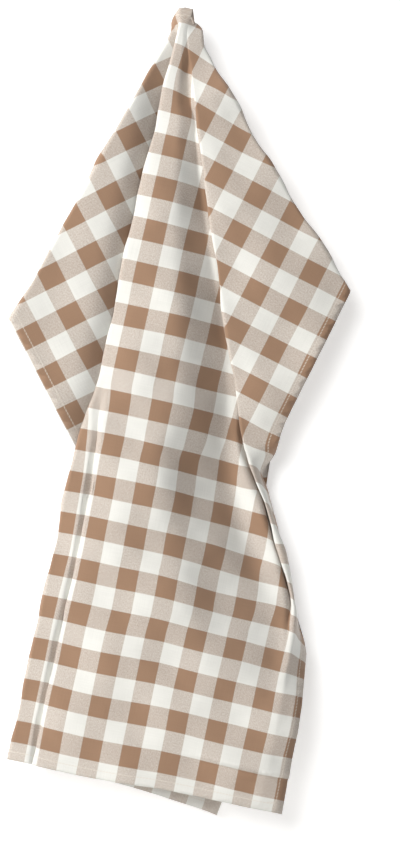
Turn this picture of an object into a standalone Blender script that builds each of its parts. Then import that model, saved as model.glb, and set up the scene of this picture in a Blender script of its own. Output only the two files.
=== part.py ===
"""Check tea towel, hung by the middle of its short top hem.

The cloth is laid out flat first: u mm to the right and v mm down from the hanging point. Round that
point the cloth falls in pleats that run away from it like rays, so every place on the cloth has a
radius and an angle there, and the section along each circle of the cloth says where it hangs.
Lengths are in millimetres until the mesh is made. X is to the right, Z is up, the viewer is at -Y.
"""
import math

import bpy
import numpy as np

HALF_LEFT, HALF_RIGHT = 256.0, 253.4        # top hem, left and right of the hanging point
LENGTH_LEFT, LENGTH_RIGHT = 686.0, 679.0    # side hems; the bottom hem is a little off the grain
THICKNESS = 1.3
OUTLINE_LEFT, OUTLINE_RIGHT = -55.5, 59.3   # cloth angles of the two outer folds, degrees

# Where the folds lie at each radius. Cloth angles and leans in degrees, + to the right.
#  radius  lean of   front   pleat   lean of  left wing  front panel
#          front     fold    fold    pleat    lean off   spread
#          fold                               the cloth
FOLDS = (
    (0.0,   -8.0,    0.0,    24.0,   3.0,     26.2,      0.75),
    (20.0,  -16.0,   0.0,    28.0,   4.0,     26.2,      0.66),
    (50.0,  -15.7,   0.0,    33.5,   5.0,     26.2,      0.64),
    (62.0,  -15.3,   0.0,    33.7,   5.3,     26.2,      0.67),
    (84.0,  -14.6,   0.0,    33.9,   5.7,     26.2,      0.83),
    (96.0,  -14.4,   0.0,    34.1,   6.0,     26.2,      0.91),
    (140.0, -13.9,   0.0,    34.6,   6.3,     26.2,      0.95),
    (250.0, -13.4,   0.0,    35.0,   6.9,     26.2,      0.96),
    (335.0, -13.0,   0.0,    35.2,   7.0,     26.2,      0.95),
    (385.0, -13.8,   -2.1,   35.2,   7.0,     26.2,      0.94),
    (399.0, -13.8,   -2.1,   34.6,   7.3,     26.1,      0.94),
    (425.0, -13.8,   -2.0,   32.2,   8.0,     25.9,      0.94),
    (445.0, -13.8,   -2.0,   30.6,   8.8,     25.6,      0.94),
    (487.0, -13.6,   -1.9,   27.7,   9.9,     25.2,      0.94),
    (515.0, -13.5,   -1.9,   26.1,   10.55,   24.8,      0.94),
    (535.0, -13.45,  -1.9,   25.07,  10.5,    24.6,      0.95),
    (560.0, -13.4,   -1.9,   23.9,   9.65,    24.4,      0.95),
    (600.0, -13.35,  -1.9,   22.2,   8.2,     24.1,      0.945),
    (640.0, -13.3,   -1.9,   20.75,  7.0,     23.8,      0.94),
    (740.0, -13.2,   -1.9,   17.8,   4.55,    23.8,      0.94),
)
# Things that change down the towel: radius, value.
STRIP_ROLL = ((0, 0), (375, 0), (388, 20), (399, 40), (411, 66), (421, 76), (445, 84), (487, 88),
              (530, 92), (548, 80), (574, 56), (600, 42), (626, 32), (670, 28), (740, 44))
# cloth angle folded away under the pleat
HIDDEN = ((0, 0.2), (50, 0.4), (62, 3.45), (84, 9.9), (96, 10.2), (110, 11.35), (125, 12), (140, 12.6),
          (170, 12.8), (250, 13.25), (300, 13.2), (335, 13.1), (360, 13.55), (385, 13.8), (400, 12.55),
          (415, 10.5), (430, 8.65), (445, 6.9), (470, 4.65), (487, 3.15), (500, 2.3), (515, 1.55),
          (530, 1.25), (545, 1.05), (560, 0.95), (600, 0.9), (640, 0.5), (700, 0.2), (740, 0.2))
OPENED = ((0, 0), (50, 0), (62, 0.5), (84, 0.58), (110, 1), (740, 1))
UNDER_SHARE = ((0, 0.1), (62, 0.1), (84, 0.2), (110, 0.48), (385, 0.49), (740, 0.49))
UNDER_ROLL = ((0, 0), (345, 0), (375, 34), (390, 52), (411, 71), (432, 83), (740, 86))
TURNED_BACK = ((0, 0), (375, 0), (411, 6), (432, 8), (740, 10))
LIP = ((0, 4.5), (487, 4.5), (511, 2.0), (555, 2.0), (590, 4.5), (740, 4.5))    # mm, then it rolls back
LIP_IN = ((0, 1.0), (375, 1.0), (411, 0.7), (445, 0.5), (740, 0.4))
GROOVE_TURN = ((0, 0), (335, 0), (385, 70), (420, 88), (740, 91))
BACK_RUN = ((0, 100), (60, 118), (150, 146), (250, 156), (740, 156))    # right flap, behind
LEFT_FLAP = ((0, -150), (60, -151), (170, -154), (740, -156))           # left flap, behind
BEHIND_RUN = ((0, -171), (60, -170), (150, -167), (375, -167), (400, -162), (520, -164), (740, -168))
WING_DIP = ((0, 0), (40, 8), (100, 24), (380, 26), (430, 0), (740, 0))  # left wing sinks by the fold
FLANK = ((0, 20), (60, 26), (120, 27), (300, 26), (400, 26), (480, 20), (560, 12), (640, 5), (740, 3))
VALLEY = ((0, 1.4), (240, 1.3), (330, 1.06), (380, 0.80), (425, 0.85), (500, 0.86), (560, 0.93), (620, 1.2),
          (740, 1.4))
BACK_SPREAD = ((0, 1.0), (335, 1.0), (445, 0.97), (740, 0.812))
GATHER_TO, GATHER_OVER, GATHER_CURL = 9.0, 20.0, 1.6
TUFT_RIGHT, TUFT_LEFT, TUFT_RAISE = 9.0, 1.5, 5.0
GROOVE_AT, GROOVE_HALF = 3.8, 9.6           # valley that runs down beside the front fold
FORWARD = 14.0                              # the front fold stands this far off the wing behind it
TURN_RADII = (3.0, 2.5, 3.2, 6.0, 1.9, 4.0, 2.0, 5.0, 3.0)
TURN_LIMITS = (60.0, 14.0, 14.0, 3.0, 6.0, 2.0, 6.0, 2.0, 60.0)

SECTION_ANGLES = np.linspace(-90.0, 90.0, 1441)
SECTION_RADII = np.concatenate([[0.5, 2.0], np.arange(4.0, 752.0, 4.0)])
FIRST_RINGS = (9, 15, 21, 28, 38, 51, 67)     # mm; the rest are evenly apart
RING_STEP = 17.0
TURN_STEPS = (-0.5, -0.25, 0.0, 0.25, 0.5)
SHARP_TURNS = (0, 1, 2, 4, 6, 8)            # these get five rays, the soft ones three
BETWEEN = (3, 6, 3, 7, 2, 2, 0, 0, 0, 3)    # rays laid between one turn and the next
GROOVE_RAYS = (-1.0, -0.5, 0.0, 0.5, 1.0)   # and these across the groove, in halves of its width
STRIP_GAP = 8                               # right of the pleat they end close together on the side hem
STRIP_SHARES = (0.022, 0.05, 0.085, 0.13, 0.19, 0.27, 0.39, 0.57, 0.78)
CORNER_LEFT_RAY, CORNER_RIGHT_RAY = 19, 64


def smooth(x):
    x = np.clip(x, 0.0, 1.0)
    return x * x * (3.0 - 2.0 * x)


def down(radius, table):
    return np.interp(radius, [row[0] for row in table], [row[1] for row in table])


def fold_row(radius):
    radii = [row[0] for row in FOLDS]
    return [np.interp(radius, radii, [row[c] for row in FOLDS]) for c in range(1, 7)]


def fold_angles(radius, hidden=None):
    """Cloth angles of the nine turns at a radius, degrees, from the left outline to the right."""
    lean_front, front, pleat, lean_pleat, wing, spread = fold_row(radius)
    back = down(radius, BACK_SPREAD)
    inner_left = (lean_front + back * front - wing) / (1.0 + back)
    hidden = down(radius, HIDDEN) if hidden is None else hidden
    under = pleat - hidden
    inner_right = under + down(radius, UNDER_SHARE) * hidden
    lip = np.minimum(np.degrees(down(radius, LIP) / np.maximum(radius, 1.0)), 1.5)
    lip_in = pleat - np.minimum(down(radius, LIP_IN) * lip, 0.25 * hidden)
    return OUTLINE_LEFT, inner_left, front, under, inner_right, lip_in, pleat, pleat + lip, OUTLINE_RIGHT


def headings(radius, angles):
    """Which way the cloth runs in each layer, degrees: 0 to the right, 90 away from the viewer."""
    hidden = math.radians(angles[6] - angles[3]) * radius
    opened = min(float(down(radius, OPENED)), float(smooth((hidden - 2.0) / 18.0)) + (radius < 100.0))
    roll = float(down(radius, STRIP_ROLL))
    under = float(down(radius, UNDER_ROLL)) * opened
    lip = -170.0 * opened
    turned = opened * (under - 170.0 - float(down(radius, TURNED_BACK)))
    lean_in = -6.0 * float(smooth((radius - 60.0) / 60.0)) * float(smooth((400.0 - radius) / 60.0))
    return [float(down(radius, LEFT_FLAP)), 3.0, float(down(radius, BEHIND_RUN)), 0.0, under, turned, lip,
            2.0 + lean_in, 4.0 + lean_in + roll, float(down(radius, BACK_RUN))]


def turn_widths(radius, angles):
    """Cloth angle taken by each turn, degrees."""
    runs = headings(radius, angles)
    widths = []
    for i, (size, most) in enumerate(zip(TURN_RADII, TURN_LIMITS)):
        turn = math.radians(abs(runs[i + 1] - runs[i]))
        widths.append(max(min(math.degrees(turn * size / max(radius, 1e-6)), most), 0.3))
    return widths


def relief(radius, theta, angles):
    """Slow swells and dips of the layers along a circle, as a change of heading, degrees."""
    lean_front, front, _, _, wing, _ = [float(x) for x in fold_row(radius)]
    under, pleat = angles[3], angles[6]
    inside = smooth((theta - front) / 1.5) * smooth((under - theta) / 1.5)
    along = np.clip((theta - front) / max(under - front, 1.0), 0.0, 1.0)
    valley = float(down(radius, VALLEY))
    flank = smooth((along - valley + 0.45) / 0.25) * (1.0 - 1.6 * smooth((along - valley) / 0.12))
    change = inside * (9.0 * smooth(along / 0.35) - 9.0 + flank * down(radius, FLANK))
    groove = (radius * np.sin(np.radians(theta)) - GROOVE_AT) / GROOVE_HALF
    dip = np.where(np.abs(groove) < 1.0, -np.sin(np.pi * groove), 0.0)
    change = change + dip * down(radius, GROOVE_TURN)
    edge, wide = lean_front - wing, math.degrees(30.0 / max(radius, 30.0))
    sink = smooth((theta - edge + wide) / wide) * (1.0 - smooth((theta - edge - 2.0) / 6.0))
    change = change + sink * down(radius, WING_DIP)
    flap = np.clip((OUTLINE_LEFT - theta) / 34.5, 0.0, 1.0)
    change = change - 15.0 * flap
    wing_right = np.clip((theta - pleat) / (OUTLINE_RIGHT - pleat), 0.0, 1.0)
    change = change + 10.0 * wing_right * (theta < OUTLINE_RIGHT) * float(smooth((420.0 - radius) / 60.0))
    return change


def section(radius, hidden=None):
    """Lean, degrees, and depth, mm, along the circle of the cloth at a radius."""
    theta = SECTION_ANGLES
    lean_front, front, pleat, lean_pleat, wing, spread = [float(x) for x in fold_row(radius)]
    angles = [float(a) for a in fold_angles(radius, hidden)]
    inner_left, under, inner_right = angles[1], angles[3], angles[4]
    runs = headings(radius, angles)
    heading = np.full_like(theta, runs[0])
    for i, (angle, width) in enumerate(zip(angles, turn_widths(radius, angles))):
        heading = heading + (runs[i + 1] - runs[i]) * smooth((theta - angle) / width + 0.5)
    heading = heading + relief(radius, theta, angles)
    share = np.where((theta > front) & (theta < inner_right), spread, 1.0)
    share = np.where((theta > inner_left) & (theta < front), down(radius, BACK_SPREAD), share)
    # at the very top the cloth is only gathered: one open curl with no pleats in it
    pleated = float(smooth((radius - GATHER_TO) / GATHER_OVER))
    heading = (1.0 - pleated) * theta * GATHER_CURL + pleated * heading
    share = 1.0 + (share - 1.0) * pleated
    heading = np.radians(heading)
    flow = share * np.cos(heading)
    depth = np.sin(heading) * radius
    step = np.diff(theta)
    lean = np.concatenate([[0.0], np.cumsum(0.5 * (flow[1:] + flow[:-1]) * step)])
    away = np.concatenate([[0.0], np.cumsum(0.5 * (depth[1:] + depth[:-1]) * np.radians(step))])
    lean = lean - np.interp(front, theta, lean) + lean_front
    away = away - np.interp(front, theta, away) - FORWARD * float(smooth(radius / 150.0))
    # the front panel and the layer behind the left wing take up what is left over
    right = lean_pleat - float(np.interp(pleat, theta, lean))
    lean = lean + pleated * right * np.clip((theta - front) / max(under - front, 1.0), 0.0, 1.0)
    left = OUTLINE_LEFT + 0.5 + wing - float(np.interp(OUTLINE_LEFT, theta, lean))
    lean = lean + pleated * left * smooth((front - theta) / (front - inner_left))
    LEFTOVER[radius] = right
    return lean, away


def hang(u, v):
    """Places of cloth points (u, v) on the hung towel, mm."""
    radius = np.hypot(u, v)
    theta = np.degrees(np.arctan2(u, v))
    i = np.clip(np.searchsorted(SECTION_RADII, radius) - 1, 0, len(SECTION_RADII) - 2)
    f = (radius - SECTION_RADII[i]) / (SECTION_RADII[i + 1] - SECTION_RADII[i])
    n = np.clip((theta + 90.0) * 8.0, 0.0, 1439.999)
    j = n.astype(int)
    g = n - j

    def look(table):
        near = table[i, j] * (1.0 - g) + table[i, j + 1] * g
        far = table[i + 1, j] * (1.0 - g) + table[i + 1, j + 1] * g
        return near * (1.0 - f) + far * f

    lean = np.radians(look(LEAN))
    away = look(AWAY)
    # the grain gives a little, and the layer behind the front panel hangs higher low down
    low = smooth((radius - 400.0) / 300.0)
    back = np.clip((-theta - 2.0) / 18.0, 0.0, 1.0)
    lift = low * (19.0 * back + 2.0 * np.sin(np.pi * np.clip((-theta - 2.0) / 15.0, 0.0, 1.0)))
    sag = 2.6 * np.sin(np.pi * np.clip((theta + 0.6) / 11.5, 0.0, 1.0)) - 4.3 * smooth((theta - 10.5) / 7.5)
    length = radius * (1.008 - 0.0004 * theta) - lift + low * sag
    # the gathered top is a rounded tuft, not a point
    tuft = smooth(1.0 - radius / 42.0)
    side = tuft * (TUFT_RIGHT * smooth(theta / 60.0) - TUFT_LEFT * smooth(-theta / 50.0))
    up = tuft * TUFT_RAISE * smooth(theta / 45.0) * smooth(radius / 9.0)
    return np.stack([length * np.sin(lean) + side, away, -length * np.cos(lean) + up], axis=-1)


LEFTOVER = {}
TABLES = [section(radius) for radius in SECTION_RADII]
LEAN = np.array([t[0] for t in TABLES])
AWAY = np.array([t[1] for t in TABLES])


def cloth_length(u):
    return LENGTH_LEFT + (LENGTH_RIGHT - LENGTH_LEFT) * (u + HALF_LEFT) / (HALF_LEFT + HALF_RIGHT)


def inside_cloth(u, v):
    return (u > -HALF_LEFT) & (u < HALF_RIGHT) & (v < cloth_length(u))


def ray_row(radius):
    """Cloth angles of all the rays at a radius, degrees, in order and never touching."""
    centres = [float(a) for a in fold_angles(radius)]
    widths = turn_widths(radius, centres)
    turns = []
    for index, (centre, width) in enumerate(zip(centres, widths)):
        steps = TURN_STEPS if index in SHARP_TURNS else (-0.4, 0.0, 0.4)
        turns.append([centre + width * step for step in steps])
    row = [-90.0]
    for index, count in enumerate(BETWEEN):
        left = row[-1]
        right = turns[index][0] if index < len(turns) else 90.0
        if index == 3:
            low = smooth((radius - 300.0) / 60.0)
            for n, share in enumerate(GROOVE_RAYS):
                groove = (GROOVE_AT + share * GROOVE_HALF) / max(radius, 300.0)
                row.append((1.0 - low) * (left + 0.7 * (n + 1)) + low * math.degrees(math.asin(groove)))
            left = row[-1]
        if index == STRIP_GAP:
            row += [left + (right - left) * share for share in STRIP_SHARES]
        else:
            row += list(np.linspace(left, right, count + 2)[1:-1])
        row += turns[index] if index < len(turns) else [90.0]
    row = np.array(row)
    gap = min(math.degrees(0.9 / radius), 0.5)
    place = gap * np.arange(len(row))
    up = np.maximum.accumulate(row - place) + place
    low = np.minimum.accumulate((row - place)[::-1])[::-1] + place
    return np.clip(0.5 * (up + low), -90.0, 90.0)


def cloth_rays():
    """Cloth points (u, v) of every ray: one on each ring it crosses, then its end on the hem."""
    table = np.array([ray_row(radius) for radius in SECTION_RADII])
    corners = {CORNER_LEFT_RAY: (-HALF_LEFT, LENGTH_LEFT), CORNER_RIGHT_RAY: (HALF_RIGHT, LENGTH_RIGHT)}
    reach = np.linspace(4.0, 750.0, 5969)
    rings = np.concatenate([FIRST_RINGS, np.arange(FIRST_RINGS[-1] + RING_STEP, 745.0, RING_STEP)])
    rays = []
    for i in range(table.shape[1]):
        angle = np.interp(reach, SECTION_RADII, table[:, i])
        turned = np.radians(angle)
        out = ~inside_cloth(reach * np.sin(turned), reach * np.cos(turned))
        end, shift = float(reach[np.argmax(out)]), 0.0
        if i in corners:
            end = math.hypot(*corners[i])
            shift = math.degrees(math.atan2(*corners[i])) - float(np.interp(end, reach, angle))
        radius = np.append(rings[rings < end - 0.45 * RING_STEP], end)
        angle = np.interp(radius, reach, angle) + shift * smooth((radius / end - 0.75) / 0.25)
        angle = np.radians(angle)
        u = np.clip(radius * np.sin(angle), -HALF_LEFT, HALF_RIGHT)
        v = np.maximum(np.minimum(radius * np.cos(angle), cloth_length(u)), 0.0)
        rays.append((u, v))
    return rays


def facing(u, v):
    """Unit normals of the hung cloth on the viewer's side of its middle panel."""
    radius = np.hypot(u, v)
    theta = np.arctan2(u, v)
    side = np.clip(0.3 / np.maximum(radius, 1.0), 0.0, 0.02)
    low = np.clip(theta - side, -math.pi / 2.0, math.pi / 2.0)
    high = np.clip(theta + side, -math.pi / 2.0, math.pi / 2.0)
    across = hang(radius * np.sin(high), radius * np.cos(high)) - hang(radius * np.sin(low), radius * np.cos(low))
    near, far = radius - 1.0, radius + 1.0
    along = hang(far * np.sin(theta), far * np.cos(theta)) - hang(near * np.sin(theta), near * np.cos(theta))
    normal = np.cross(along, across)
    return normal / np.maximum(np.linalg.norm(normal, axis=1, keepdims=True), 1e-9)


def join(one, two):
    """Triangles and quads between two rays, each a list of (vertex, radius)."""
    faces, p, q = [], 0, 0
    while p < len(one) - 1 or q < len(two) - 1:
        left = one[p + 1][1] if p < len(one) - 1 else 1e9
        right = two[q + 1][1] if q < len(two) - 1 else 1e9
        if abs(left - right) < 1e-6:
            faces.append((one[p][0], one[p + 1][0], two[q + 1][0], two[q][0]))
            p, q = p + 1, q + 1
        elif left < right:
            faces.append((one[p][0], one[p + 1][0], two[q][0]))
            p += 1
        else:
            faces.append((one[p][0], two[q + 1][0], two[q][0]))
            q += 1
    return faces


def build_sheet():
    """Vertices, mm, and faces of the closed sheet."""
    rays = cloth_rays()
    u = np.concatenate([ray[0] for ray in rays])
    v = np.concatenate([ray[1] for ray in rays])
    middle, normal = hang(u, v), facing(u, v)
    radius = np.hypot(u, v)
    count = len(u)
    verts = [(0.0, -0.5, 0.0), (1.0, 0.8, -4.0)]
    verts += [tuple(p) for p in middle + normal * THICKNESS / 2.0]
    verts += [tuple(p) for p in middle - normal * THICKNESS / 2.0]
    starts = np.concatenate([[0], np.cumsum([len(ray[0]) for ray in rays])])
    lists = [[(2 + k, radius[k]) for k in range(starts[i], starts[i + 1])] for i in range(len(rays))]
    faces = []
    for one, two in zip(lists[:-1], lists[1:]):
        sheet = join(one, two) + [(0, one[0][0], two[0][0])]
        faces += sheet
        for face in sheet:
            faces.append(tuple(1 if k == 0 else k + count for k in face[::-1]))
    rim = [0] + [k for k, _ in lists[0]] + [ray[-1][0] for ray in lists[1:-1]]
    rim += [k for k, _ in lists[-1][::-1]]
    under = [1 if k == 0 else k + count for k in rim]
    for k in range(len(rim)):
        n = (k + 1) % len(rim)
        faces.append((rim[n], rim[k], under[k], under[n]))
    return verts, faces


def make_cloth():
    verts, faces = build_sheet()
    mesh = bpy.data.meshes.new("towel_cloth")
    mesh.from_pydata([(x / 1000.0, y / 1000.0, z / 1000.0) for x, y, z in verts], [], faces)
    mesh.validate()
    mesh.update()
    cloth = bpy.data.objects.new("towel_cloth", mesh)
    bpy.context.scene.collection.objects.link(cloth)
    material = bpy.data.materials.new("woven_cotton")
    material.use_nodes = True
    shader = material.node_tree.nodes["Principled BSDF"]
    shader.inputs["Base Color"].default_value = (0.56, 0.45, 0.37, 1.0)
    shader.inputs["Roughness"].default_value = 0.95
    mesh.materials.append(material)
    return cloth


for old in list(bpy.data.objects):
    bpy.data.objects.remove(old)
make_cloth()
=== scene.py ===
"""Checked cotton tea towel that hangs in pleats from the middle of its short top hem.

Lengths are millimetres on the cloth until a mesh is made. A place on the cloth is (u, v): u to the
right of the hanging point and v down from the top hem. X is to the right, Z is up and the viewer
stands at -Y.
"""
from __future__ import annotations

import logging
import math
from dataclasses import dataclass, field
from enum import Enum

import bpy
import numpy as np
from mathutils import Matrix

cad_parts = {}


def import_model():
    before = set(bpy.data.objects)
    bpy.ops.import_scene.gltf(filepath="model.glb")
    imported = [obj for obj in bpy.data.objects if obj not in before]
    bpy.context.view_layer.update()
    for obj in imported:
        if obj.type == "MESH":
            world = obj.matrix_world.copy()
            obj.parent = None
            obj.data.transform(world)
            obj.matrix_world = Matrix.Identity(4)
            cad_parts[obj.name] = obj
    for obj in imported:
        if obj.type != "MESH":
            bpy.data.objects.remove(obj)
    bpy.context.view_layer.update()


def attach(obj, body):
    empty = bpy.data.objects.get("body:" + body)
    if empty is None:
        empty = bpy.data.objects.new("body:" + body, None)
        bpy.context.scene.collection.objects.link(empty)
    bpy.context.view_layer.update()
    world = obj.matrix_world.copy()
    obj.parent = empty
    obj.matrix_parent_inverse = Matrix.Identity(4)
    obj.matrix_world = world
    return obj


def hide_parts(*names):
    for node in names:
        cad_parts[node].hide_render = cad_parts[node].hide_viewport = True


LOG = logging.getLogger("tea_towel")
Table = tuple[tuple[float, ...], ...]
Span = tuple[float, float]
Row = tuple[object, ...]
MM = 0.001
TINY = 1e-6


def smooth(x: np.ndarray | float) -> np.ndarray | float:
    """Rise softly from 0 to 1.

    Args:
        x: Value, clipped to 0 to 1.

    Returns:
        The eased value.
    """
    x = np.clip(x, 0.0, 1.0)
    return x * x * (3.0 - 2.0 * x)


def rise(value: np.ndarray | float, span: Span) -> np.ndarray | float:
    """Rise softly from 0 to 1 after a value.

    Args:
        value: Where to look.
        span: Where the rise starts, and over how much it runs.

    Returns:
        The eased value.
    """
    return smooth((value - span[0]) / span[1])


def fall(value: np.ndarray | float, span: Span) -> np.ndarray | float:
    """Fall softly from 1 to 0 before a value.

    Args:
        value: Where to look.
        span: Where the fall ends, and over how much it runs.

    Returns:
        The eased value.
    """
    return smooth((span[0] - value) / span[1])


def read_table(at: np.ndarray | float, table: Table, column: int = 1) -> np.ndarray | float:
    """Read a short table between its rows.

    Args:
        at: Where to read it, in the units of the first column.
        table: Rows, the first column rising.
        column: Which column is read.

    Returns:
        The value there.
    """
    return np.interp(at, [row[0] for row in table], [row[column] for row in table])


def linear(hex_colour: str) -> tuple[float, float, float, float]:
    """Turn an sRGB hex colour into linear RGBA.

    Args:
        hex_colour: Colour such as "#a08060".

    Returns:
        Linear red, green, blue and an alpha of 1.
    """
    parts = [int(hex_colour[i:i + 2], 16) / 255.0 for i in (1, 3, 5)]
    made = [p / 12.92 if p <= 0.04045 else ((p + 0.055) / 1.055) ** 2.4 for p in parts]
    return made[0], made[1], made[2], 1.0


class Turn(Enum):
    """The nine turns of the cloth, from the left outline round to the right one."""

    LEFT_OUTLINE = 0
    LEFT_INNER = 1
    FRONT = 2
    UNDER = 3
    RIGHT_INNER = 4
    LIP_IN = 5
    PLEAT = 6
    LIP_OUT = 7
    RIGHT_OUTLINE = 8


@dataclass(frozen=True)
class FlatCloth:
    """The towel as it was cut, and its woven checks."""

    half_left: float = 256.0
    half_right: float = 253.4
    length_left: float = 686.0
    length_right: float = 679.0
    check: float = 19.2
    brown_column: float = 23.0    # u of the middle of one brown column
    brown_row: float = 657.2      # v of the middle of one brown row
    hem: float = 9.0

    def length(self, u: np.ndarray | float) -> np.ndarray | float:
        """Give the length of the cloth at a column.

        Args:
            u: Place across the cloth, mm.

        Returns:
            Length from the top hem to the bottom hem, mm.
        """
        share = (u + self.half_left) / (self.half_left + self.half_right)
        return self.length_left + (self.length_right - self.length_left) * share

    def holds(self, u: np.ndarray, v: np.ndarray) -> np.ndarray:
        """Tell which places lie on the cloth.

        Args:
            u: Places across, mm.
            v: Places down, mm.

        Returns:
            True where the place is on the cloth.
        """
        return (u > -self.half_left) & (u < self.half_right) & (v < self.length(u))

    def from_edge(self, u: np.ndarray, v: np.ndarray) -> np.ndarray:
        """Measure how far places are from the nearest hem.

        Args:
            u: Places across, mm.
            v: Places down, mm.

        Returns:
            Distances, mm.
        """
        sides = [u + self.half_left, self.half_right - u, v, self.length(u) - v]
        return np.min(np.array(sides), axis=0)


@dataclass(frozen=True)
class Drape:
    """How the cloth falls in pleats that run away from the hanging point like rays.

    Every circle of the cloth round the hanging point has a section: the way the cloth runs in each
    layer, and where it turns. Cloth angles and leans are in degrees, + to the right.
    """

    outline_left: float = -55.5
    # radius, cloth angle
    outline_right: Table = (
        (0, 56.6), (82, 57.2), (104, 58.2), (132, 57.2), (174, 57.4), (200, 57.6), (244, 58.4),
        (300, 58.6), (740, 58.6),
    )
    # radius, lean of front fold, front fold, pleat, lean of pleat, left wing's lean off the cloth,
    # spread of the front panel
    folds: Table = (
        (0.0, -8.0, 0.0, 24.0, 3.0, 26.2, 0.75),
        (20.0, -16.0, 0.0, 28.0, 4.5, 26.2, 0.72),
        (50.0, -14.5, 0.0, 33.5, 6.5, 26.2, 0.68),
        (62.0, -15.3, 0.0, 33.7, 5.3, 26.2, 0.67),
        (84.0, -14.6, 0.0, 33.9, 5.7, 26.2, 0.83),
        (96.0, -14.4, 0.0, 34.1, 6.0, 26.2, 0.91),
        (140.0, -13.9, 0.0, 34.6, 6.3, 26.2, 0.95),
        (250.0, -13.4, 0.0, 35.0, 7.0, 26.2, 0.96),
        (335.0, -13.0, 0.0, 35.2, 7.4, 26.2, 0.95),
        (385.0, -13.8, -2.3, 35.2, 7.5, 26.2, 0.94),
        (399.0, -13.8, -2.5, 34.9, 7.6, 26.1, 0.94),
        (425.0, -13.8, -2.7, 32.2, 8.35, 25.9, 0.94),
        (445.0, -13.8, -2.75, 30.6, 9.1, 25.6, 0.94),
        (487.0, -13.6, -2.7, 27.7, 9.85, 25.2, 0.94),
        (515.0, -13.5, -2.5, 26.1, 10.2, 24.8, 0.94),
        (535.0, -13.45, -2.35, 25.07, 10.25, 24.6, 0.95),
        (560.0, -13.4, -2.2, 23.9, 9.7, 24.4, 0.95),
        (600.0, -13.35, -2.1, 22.2, 8.1, 24.1, 0.945),
        (640.0, -13.3, -2.0, 20.75, 6.9, 23.8, 0.94),
        (740.0, -13.2, -2.0, 17.8, 4.2, 23.8, 0.94),
    )
    # The tables below change down the towel: radius, value.
    # how far the narrow strip beside the pleat rolls back
    strip_roll: Table = (
        (0, 0), (400, 0), (407, 20), (414, 62), (421, 76), (445, 84), (487, 87),
        (530, 87), (548, 80), (574, 60), (600, 40), (626, 18), (650, 8), (740, 8),
    )
    # cloth angle folded away under the pleat
    hidden: Table = (
        (0, 0.2), (50, 0.4), (62, 3.45), (84, 9.9), (96, 10.2), (110, 11.35), (125, 12.0),
        (140, 12.6), (170, 12.8), (250, 13.25), (300, 13.2), (335, 13.1), (360, 13.55),
        (385, 13.8), (400, 12.9), (415, 11.1), (430, 9.3), (445, 7.6), (470, 5.3),
        (487, 3.8), (500, 2.9), (515, 2.1), (530, 1.6), (545, 1.2), (560, 0.7), (590, 0.2),
        (740, 0.2),
    )
    # how far the pleat is opened into layers, and the share of the hidden cloth that runs back
    opened: Table = ((0, 0), (50, 0), (62, 0.5), (84, 0.58), (110, 1), (740, 1))
    under_share: Table = ((0, 0.1), (62, 0.1), (84, 0.2), (110, 0.48), (385, 0.49), (740, 0.49))
    # headings in the pleat: where the front panel runs under it, and the layer turned back
    under_roll: Table = (
        (0, 0), (345, 0), (375, 34), (390, 52), (411, 71), (432, 83), (740, 86),
    )
    turned_back: Table = ((0, 0), (375, 0), (411, 6), (432, 8), (740, 10))
    # the pleat's lip, mm, and how much of it turns in
    lip: Table = ((0, 4.5), (487, 4.5), (511, 2.0), (555, 2.0), (590, 4.5), (740, 4.5))
    lip_in: Table = ((0, 1.0), (375, 1.0), (411, 0.7), (445, 0.5), (740, 0.4))
    groove_turn: Table = ((0, 0), (335, 0), (385, 44), (420, 60), (740, 63))
    # headings of the flap behind the right wing, the one behind the left, and the layer between
    back_run: Table = ((0, 100), (60, 118), (150, 146), (250, 156), (740, 156))
    left_flap_run: Table = ((0, -150), (60, -151), (170, -154), (740, -156))
    behind_run: Table = (
        (0, -171), (60, -170), (150, -167), (375, -167), (400, -162), (520, -164), (740, -168),
    )
    # the left wing sinks beside the front fold
    wing_dip: Table = ((0, 0), (40, 14), (100, 42), (380, 48), (430, 0), (740, 0))
    # the front panel falls away towards the pleat, and rises again at the valley
    flank: Table = (
        (0, 14), (60, 24), (120, 38), (300, 40), (400, 38), (480, 30), (560, 17), (640, 8),
        (740, 4),
    )
    valley: Table = (
        (0, 0.86), (160, 0.86), (217, 0.89), (295, 0.92), (362, 0.86), (407, 0.84), (460, 0.82),
        (500, 0.86), (560, 0.93), (620, 1.2), (740, 1.4),
    )
    # how much of its width the layer behind the front panel keeps
    back_spread: Table = ((0, 1.0), (335, 1.0), (445, 0.97), (740, 0.812))
    # the right wing is gathered near the hanging point
    wing_spread: Table = (
        (0, 1.2), (20, 1.3), (27, 1.02), (38, 0.78), (50, 0.86), (82, 0.92), (130, 0.96), (160, 1),
        (740, 1),
    )
    # how much further down the cloth hangs: the front panel, its right side, the narrow strip
    drop_front: Table = (
        (0, 0), (45, 0.5), (85, 4.4), (390, 4.4), (427, 2.5), (465, 1.5), (504, 0.8), (542, 0),
        (580, -0.7), (619, -1.8), (657, -2.4), (740, -2.4),
    )
    drop_right: Table = (
        (0, 0), (400, 0), (420, 2), (462, 3.5), (512, 6), (547, 4.7), (583, 2.7), (619, 1.8),
        (655, 1.6), (691, -0.9), (740, -1),
    )
    drop_strip: Table = (
        (0, 0), (410, 0), (430, 0), (461, 4.6), (494, 6.5), (561, 8.5), (596, 8), (631, 7),
        (667, 3), (740, 2.2),
    )
    # the groove's place and half width, mm, then shares of that half width: its walls, their ease,
    # its bottom and how soft it is; and how much of the turn its left and right walls take
    groove_at: float = 3.8
    groove_half: float = 9.6
    groove_wall: float = 0.76
    groove_ease: float = 0.16
    groove_bottom: float = 0.115
    groove_soft: float = 0.24
    groove_left: float = 0.75
    groove_right: float = 1.3
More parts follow.
